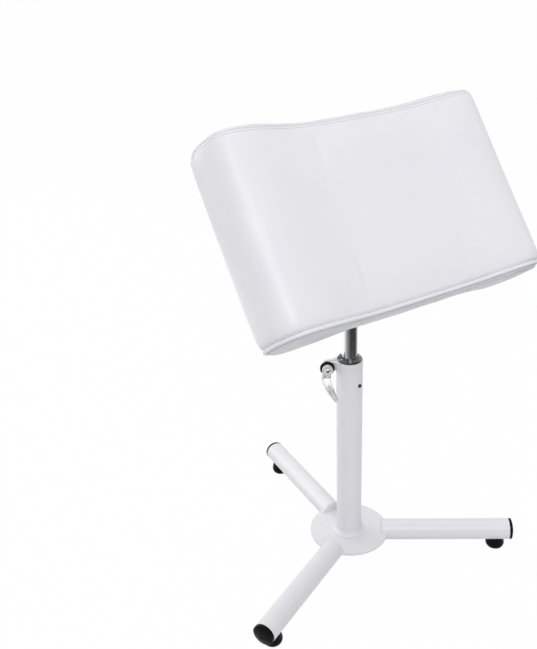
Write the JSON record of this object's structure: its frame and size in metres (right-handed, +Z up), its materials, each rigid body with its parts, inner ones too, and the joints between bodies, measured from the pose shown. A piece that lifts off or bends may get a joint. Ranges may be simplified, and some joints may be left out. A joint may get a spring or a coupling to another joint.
{
  "type": "pedicure footrest",
  "caption": "Wave-shaped padded leg cushion that tilts on a friction clevis, on a swivelling, height-adjustable post in a low tubular stand with spread legs and rubber feet.",
  "frame": {"origin": "the column's axis at floor level, under the base plate", "axes": "+Z up along the column; +X along the cushion's tilt axis, across its wave, away from the clamp lever; +Y backwards: at rest the cushion's face leans towards -Y, where the user sits"},
  "size_m": [0.3825, 0.3553, 0.5906],
  "materials": {
    "white_enamel": "smooth gloss powder coat",
    "black_plastic": "satin moulded",
    "black_steel": "black oxide",
    "black_rubber": "moulded, slight sheen",
    "chrome": "bright plated",
    "satin_silver": "satin plated die casting",
    "zinc_steel": "zinc plated",
    "nylon": "natural nylon",
    "plywood": "raw plywood",
    "foam": "open-cell foam block",
    "white_vinyl": "smooth white artificial leather, faint grain"
  },
  "bodies": {
    "base": {"base_plate": "white_enamel", "column_tube": "white_enamel", "column_weld": "white_enamel", "leg_welds": "white_enamel", "leg_back": "white_enamel", "leg_left": "white_enamel", "leg_right": "white_enamel", "cap_back": "black_plastic", "cap_left": "black_plastic", "cap_right": "black_plastic", "foot_back": "black_rubber", "foot_left": "black_rubber", "foot_right": "black_rubber", "foot_screws": "zinc_steel", "foot_washers": "zinc_steel", "foot_nuts": "zinc_steel", "clamp_ears": "white_enamel", "column_bushing": "black_plastic", "bushing_screw": "black_steel"},
    "glide": {"glide_sleeve": "nylon"},
    "post": {"post_tube": "chrome", "post_plug": "black_plastic", "retaining_rings": "zinc_steel", "post_head": "zinc_steel", "head_pin": "zinc_steel"},
    "washer": {"clamp_washer": "zinc_steel"},
    "lever": {"clamp_stud": "zinc_steel", "clamp_hub": "black_plastic", "clamp_lever": "satin_silver", "lever_screw": "chrome"},
    "cushion": {"clevis": "zinc_steel", "clevis_welds": "zinc_steel", "bracket_plate": "zinc_steel", "friction_discs": "nylon", "hinge_bolt": "zinc_steel", "hinge_washers": "zinc_steel", "hinge_nut": "zinc_steel", "bracket_screws": "zinc_steel", "tee_nuts": "zinc_steel", "cushion_board": "plywood", "foam_core": "foam", "cover_wrap": "white_vinyl", "side_panel_front": "white_vinyl", "side_panel_back": "white_vinyl", "welt_front": "white_vinyl", "welt_back": "white_vinyl"}
  },
  "joints": [
    {"name": "height", "type": "slide", "parent": "base", "child": "glide", "axis": [0, 0, 1], "range_m": [-0.095, 0.072]},
    {"name": "swivel", "type": "hinge", "parent": "glide", "child": "post", "pos_m": [0, 0, 0.2], "axis": [0, 0, 1], "continuous": true},
    {"name": "tilt", "type": "hinge", "parent": "post", "child": "cushion", "pos_m": [0, 0, 0.442], "axis": [1, 0, 0], "range_deg": [-127, 22.8]},
    {"name": "stud_travel", "type": "slide", "parent": "base", "child": "washer", "axis": [-0.5, -0.866, 0], "range_m": [0, 0.000334]},
    {"name": "clamp_turn", "type": "hinge", "parent": "washer", "child": "lever", "pos_m": [-0.0284, 0.00601, 0.2793], "axis": [-0.5, -0.866, 0], "range_deg": [0, 120]}
  ],
  "couplings": [
    {"joint": "stud_travel", "follows": "clamp_turn", "m_per_rad": 0.00015915}
  ]
}
